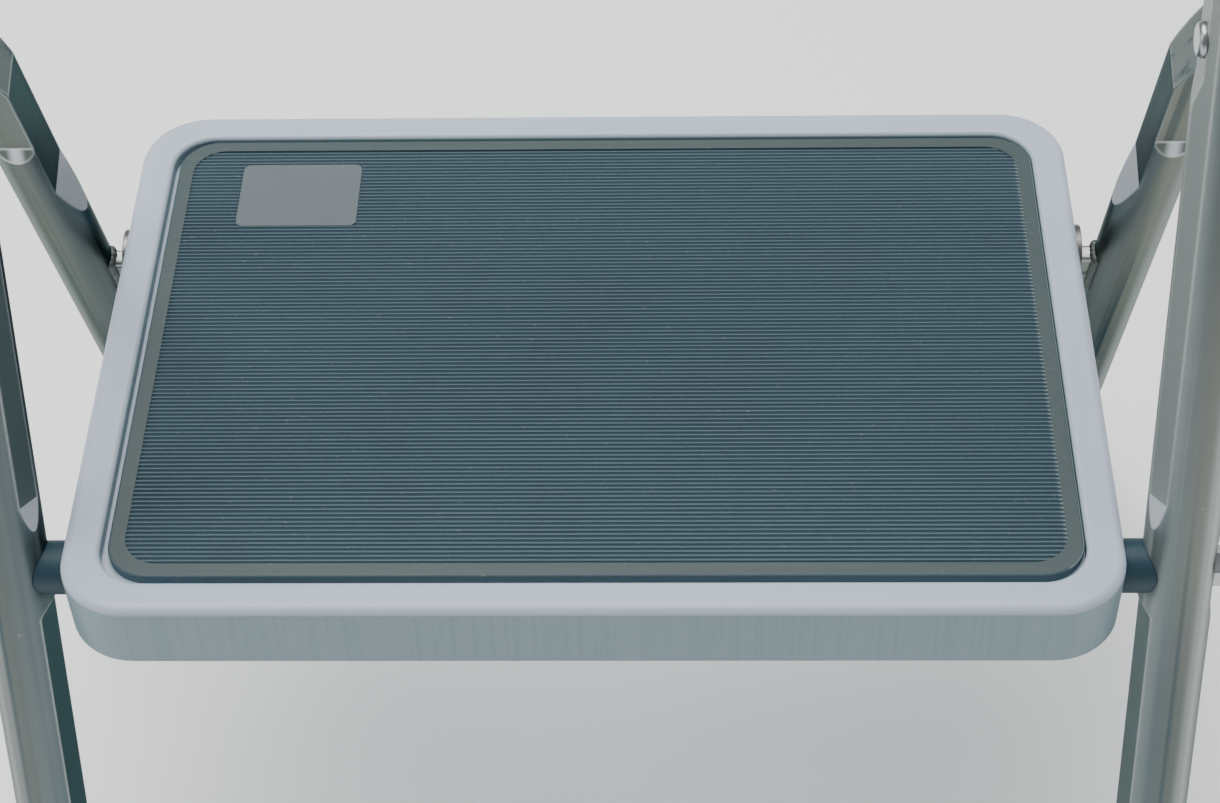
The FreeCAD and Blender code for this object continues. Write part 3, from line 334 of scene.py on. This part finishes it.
def plated_steel(name, light, dark, gloss):
    """Zinc-plated steel with a mottled spangle."""
    steel = Finish(name, Metallic=1.0)
    spangle = steel.node("ShaderNodeTexVoronoi", {"feature": "F1"}, {"Vector": steel.place, "Scale": 420.0},
                         output="Distance")
    cloud = steel.noise(140, detail=3)
    steel.feed(Base_Color=steel.blend(cloud, dark, light), Roughness=gloss + 0.16 * cloud + 0.05 * spangle,
               Normal=steel.bump(cloud + 0.5 * spangle, 0.00008, 0.4, steel.softened(SMALL_EDGE)))
    return steel.material


def bush_plastic():
    """Dark teal plastic with a low gloss and faint moulding haze."""
    plastic = Finish("bush_plastic", IOR=1.5)
    haze = plastic.noise(210, detail=3)
    grain = plastic.noise(1600, detail=1)
    plastic.feed(Base_Color=plastic.blend(haze, (0.010, 0.045, 0.066), (0.018, 0.057, 0.082)),
                 Roughness=0.44 + 0.16 * haze,
                 Normal=plastic.bump(grain, 0.00003, 0.4, plastic.softened(SMALL_EDGE)))
    return plastic.material


def foot_rubber():
    """Dark moulded rubber, dusty towards the floor."""
    rubber = Finish("foot_rubber", IOR=1.5)
    grain = rubber.noise(1900, detail=2)
    cloud = rubber.noise(70, detail=4)
    dust = (1 - rubber.band(rubber.axis(2), 0.0, DUST_HEIGHT)) * cloud
    tone = rubber.blend(cloud, (0.016, 0.017, 0.019), (0.034, 0.035, 0.037))
    rubber.feed(Base_Color=rubber.blend(dust * 0.5, tone, (0.16, 0.15, 0.14)), Roughness=0.56 + 0.22 * grain,
                Normal=rubber.bump(grain, 0.00012, 0.6, rubber.softened(FOOT_EDGE)))
    return rubber.material


FINISHES = {
    "tray_coat": powder_coat(),
    "mat_rubber": ribbed_rubber(),
    "label_grey": label_film(),
    "bush_plastic": bush_plastic(),
    "foot_rubber": foot_rubber(),
    "plate_steel": plated_steel("plate_zinc", (0.44, 0.45, 0.45), (0.32, 0.33, 0.34), 0.32),
    "hook_coat": plated_steel("hook_zinc", (0.30, 0.30, 0.28), (0.18, 0.18, 0.17), 0.36),
    "fastener_steel": plated_steel("fastener_zinc", (0.52, 0.53, 0.53), (0.38, 0.39, 0.40), 0.22),
}
WELD_FINISH = plated_steel("weld_metal", (0.20, 0.22, 0.21), (0.11, 0.13, 0.125), 0.58)
# Painted light and shade: one drawn steel in three copies, darker on the front legs and rail, paler on the
# rear legs and paler still on the cross members.
TUBE_FINISHES = {
    "front": drawn_metal("front_tube_metal", (0.165, 0.182, 0.158), (0.120, 0.155, 0.165), FRONT_LEAN, 1.0),
    "rear": drawn_metal("rear_tube_metal", (0.235, 0.250, 0.205), (0.205, 0.230, 0.218), -REAR_LEAN),
    "cross": drawn_metal("cross_tube_metal", (0.380, 0.400, 0.360), (0.300, 0.340, 0.340)),
}
TUBES = {
    "front_left_leg": "front", "front_right_leg": "front", "hand_rail": "front",
    "rear_left_leg": "rear", "rear_right_leg": "rear",
    "step_rest_bar": "cross", "rear_lower_brace": "cross",
}


def dress(piece, material):
    """Give a piece one finish."""
    piece.data.materials.clear()
    piece.data.materials.append(material)


for part in frame["record"]["subparts"]:
    name = part["node"]
    if name in TUBES:
        dress(nodes[name], TUBE_FINISHES[TUBES[name]])
    else:
        dress(nodes[name], FINISHES[part["material_slot"]])


# Weld beads where the cross members meet the rear legs, made of overlapping beads along each seam.
LEG_RADIUS = 0.012
BAR_THICKNESS = 0.007
BAR_HEIGHT = 0.024
BRACE_RADIUS = 0.010
BEAD_RADIUS = 0.0017
BEAD_PITCH = 0.0012
BEAD_SEGMENTS = 14
BEAD_RINGS = 8
REAR_ACROSS = Vector((0, math.cos(REAR_LEAN), math.sin(REAR_LEAN)))
REAR_ALONG = Vector((0, -math.sin(REAR_LEAN), math.cos(REAR_LEAN)))


def box_seam(width, height):
    """Places round a rectangle, a bead pitch apart."""
    corners = [(-width, -height), (width, -height), (width, height), (-width, height)]
    places = []
    for (x0, y0), (x1, y1) in zip(corners, corners[1:] + corners[:1]):
        count = max(2, round(max(abs(x1 - x0), abs(y1 - y0)) / BEAD_PITCH))
        places += [(x0 + (x1 - x0) * step / count, y0 + (y1 - y0) * step / count) for step in range(count)]
    return [(x / 2, y / 2) for x, y in places]


def round_seam(radius):
    """Places round a circle, a bead pitch apart."""
    count = round(2 * math.pi * radius / BEAD_PITCH)
    turns = [2 * math.pi * step / count for step in range(count)]
    return [(radius * math.sin(turn), radius * math.cos(turn)) for turn in turns]


def weld_bead(name, member, seam, side):
    """A welded seam between a cross member and the inner side of a rear leg."""
    low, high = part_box(member)
    middle = (low + high) / 2
    bpy.ops.object.select_all(action="DESELECT")
    bead = None
    for number, (across, along) in enumerate(seam):
        place = middle + across * REAR_ACROSS + along * REAR_ALONG
        place.x = side * (LEG_X - math.sqrt(LEG_RADIUS ** 2 - across ** 2))
        swell = 1 + 0.18 * math.sin(1.7 * number) + 0.10 * math.sin(0.61 * number + side)
        bpy.ops.mesh.primitive_uv_sphere_add(segments=BEAD_SEGMENTS, ring_count=BEAD_RINGS,
                                             radius=BEAD_RADIUS * swell, location=place)
        if bead is None:
            bead = bpy.context.object
            bpy.ops.object.transform_apply(location=True, rotation=True, scale=True)
            bpy.ops.object.mode_set(mode="EDIT")
    bpy.ops.object.mode_set(mode="OBJECT")
    bpy.ops.object.shade_smooth()
    bead.name = name
    dress(bead, WELD_FINISH)
    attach(bead, "rear_frame")


for side_name, side in (("left", -1), ("right", 1)):
    weld_bead(f"bar_weld_{side_name}", "step_rest_bar", box_seam(BAR_THICKNESS, BAR_HEIGHT), side)
    weld_bead(f"brace_weld_{side_name}", "rear_lower_brace", round_seam(BRACE_RADIUS), side)


# Floor, light and camera.
FLOOR_SIDE = 12.0
FLOOR_DROP = 0.0004
FLOOR_GLOW = 0.3
WORLD_COLOUR = (0.82, 0.86, 0.88, 1)
WORLD_STRENGTH = 0.30

# Each soft light: its name, place, side and watts.
SOFT_BOXES = (
    ("top_light", (-0.3, 0.5, 2.4), 1.8, 74),
    ("left_light", (-2.0, -0.3, 1.3), 1.2, 14),
    ("right_light", (2.0, -0.2, 1.2), 1.0, 5),
)


def studio_floor():
    """A pale paper floor just below the feet."""
    bpy.ops.object.select_all(action="DESELECT")
    bpy.ops.mesh.primitive_plane_add(size=FLOOR_SIDE, location=(0, 0, -FLOOR_DROP))
    floor = bpy.context.object
    floor.name = "studio_floor"
    paper = Finish("floor_paper", Emission_Color=(1, 1, 1, 1), Emission_Strength=FLOOR_GLOW)
    mottle = paper.noise(3, detail=2)
    paper.feed(Base_Color=paper.blend(mottle, (0.90, 0.90, 0.90), (0.93, 0.93, 0.93)),
               Roughness=0.75 + 0.1 * mottle)
    dress(floor, paper.material)


def soft_box(name, place, aim, side, watts):
    """A square area light that points at a place."""
    lamp = bpy.data.lights.new(name, "AREA")
    lamp.shape = "SQUARE"
    lamp.size = side
    lamp.energy = watts
    holder = bpy.data.objects.new(name, lamp)
    bpy.context.scene.collection.objects.link(holder)
    holder.location = place
    holder.rotation_euler = (Vector(aim) - Vector(place)).to_track_quat("-Z", "Y").to_euler()


def studio_light():
    """The soft lights and an even, pale surround."""
    for name, place, side, watts in SOFT_BOXES:
        soft_box(name, place, MAT_MIDDLE, side, watts)
    world = bpy.data.worlds.new("studio_world")
    world.use_nodes = True
    sky = world.node_tree.nodes["Background"]
    sky.inputs["Color"].default_value = WORLD_COLOUR
    sky.inputs["Strength"].default_value = WORLD_STRENGTH
    bpy.context.scene.world = world


# The camera: its place from the middle of the mat, the point on the mat that it looks at, and its roll.
CAMERA_OFFSET = Vector((0.03135, -0.68383, 0.71040))
CAMERA_AIM = Vector((0.00477, -0.03220, 0.0))
CAMERA_ROLL = math.radians(-1.92)
CAMERA_LENS = 75.25
CAMERA_SENSOR = 36.0
CAMERA_NEAR = 0.02


def photo_camera():
    """The camera that looks down at the step."""
    camera = bpy.data.cameras.new("photo_camera")
    camera.lens = CAMERA_LENS
    camera.sensor_width = CAMERA_SENSOR
    camera.clip_start = CAMERA_NEAR
    holder = bpy.data.objects.new("photo_camera", camera)
    bpy.context.scene.collection.objects.link(holder)
    mat_top = Vector((MAT_MIDDLE.x, MAT_MIDDLE.y, MAT_HIGH.z))
    holder.location = mat_top + CAMERA_OFFSET
    gaze = CAMERA_AIM - CAMERA_OFFSET
    holder.rotation_mode = "QUATERNION"
    holder.rotation_quaternion = gaze.to_track_quat("-Z", "Y") @ Quaternion((0, 0, 1), CAMERA_ROLL)
    bpy.context.scene.camera = holder


studio_floor()
studio_light()
photo_camera()
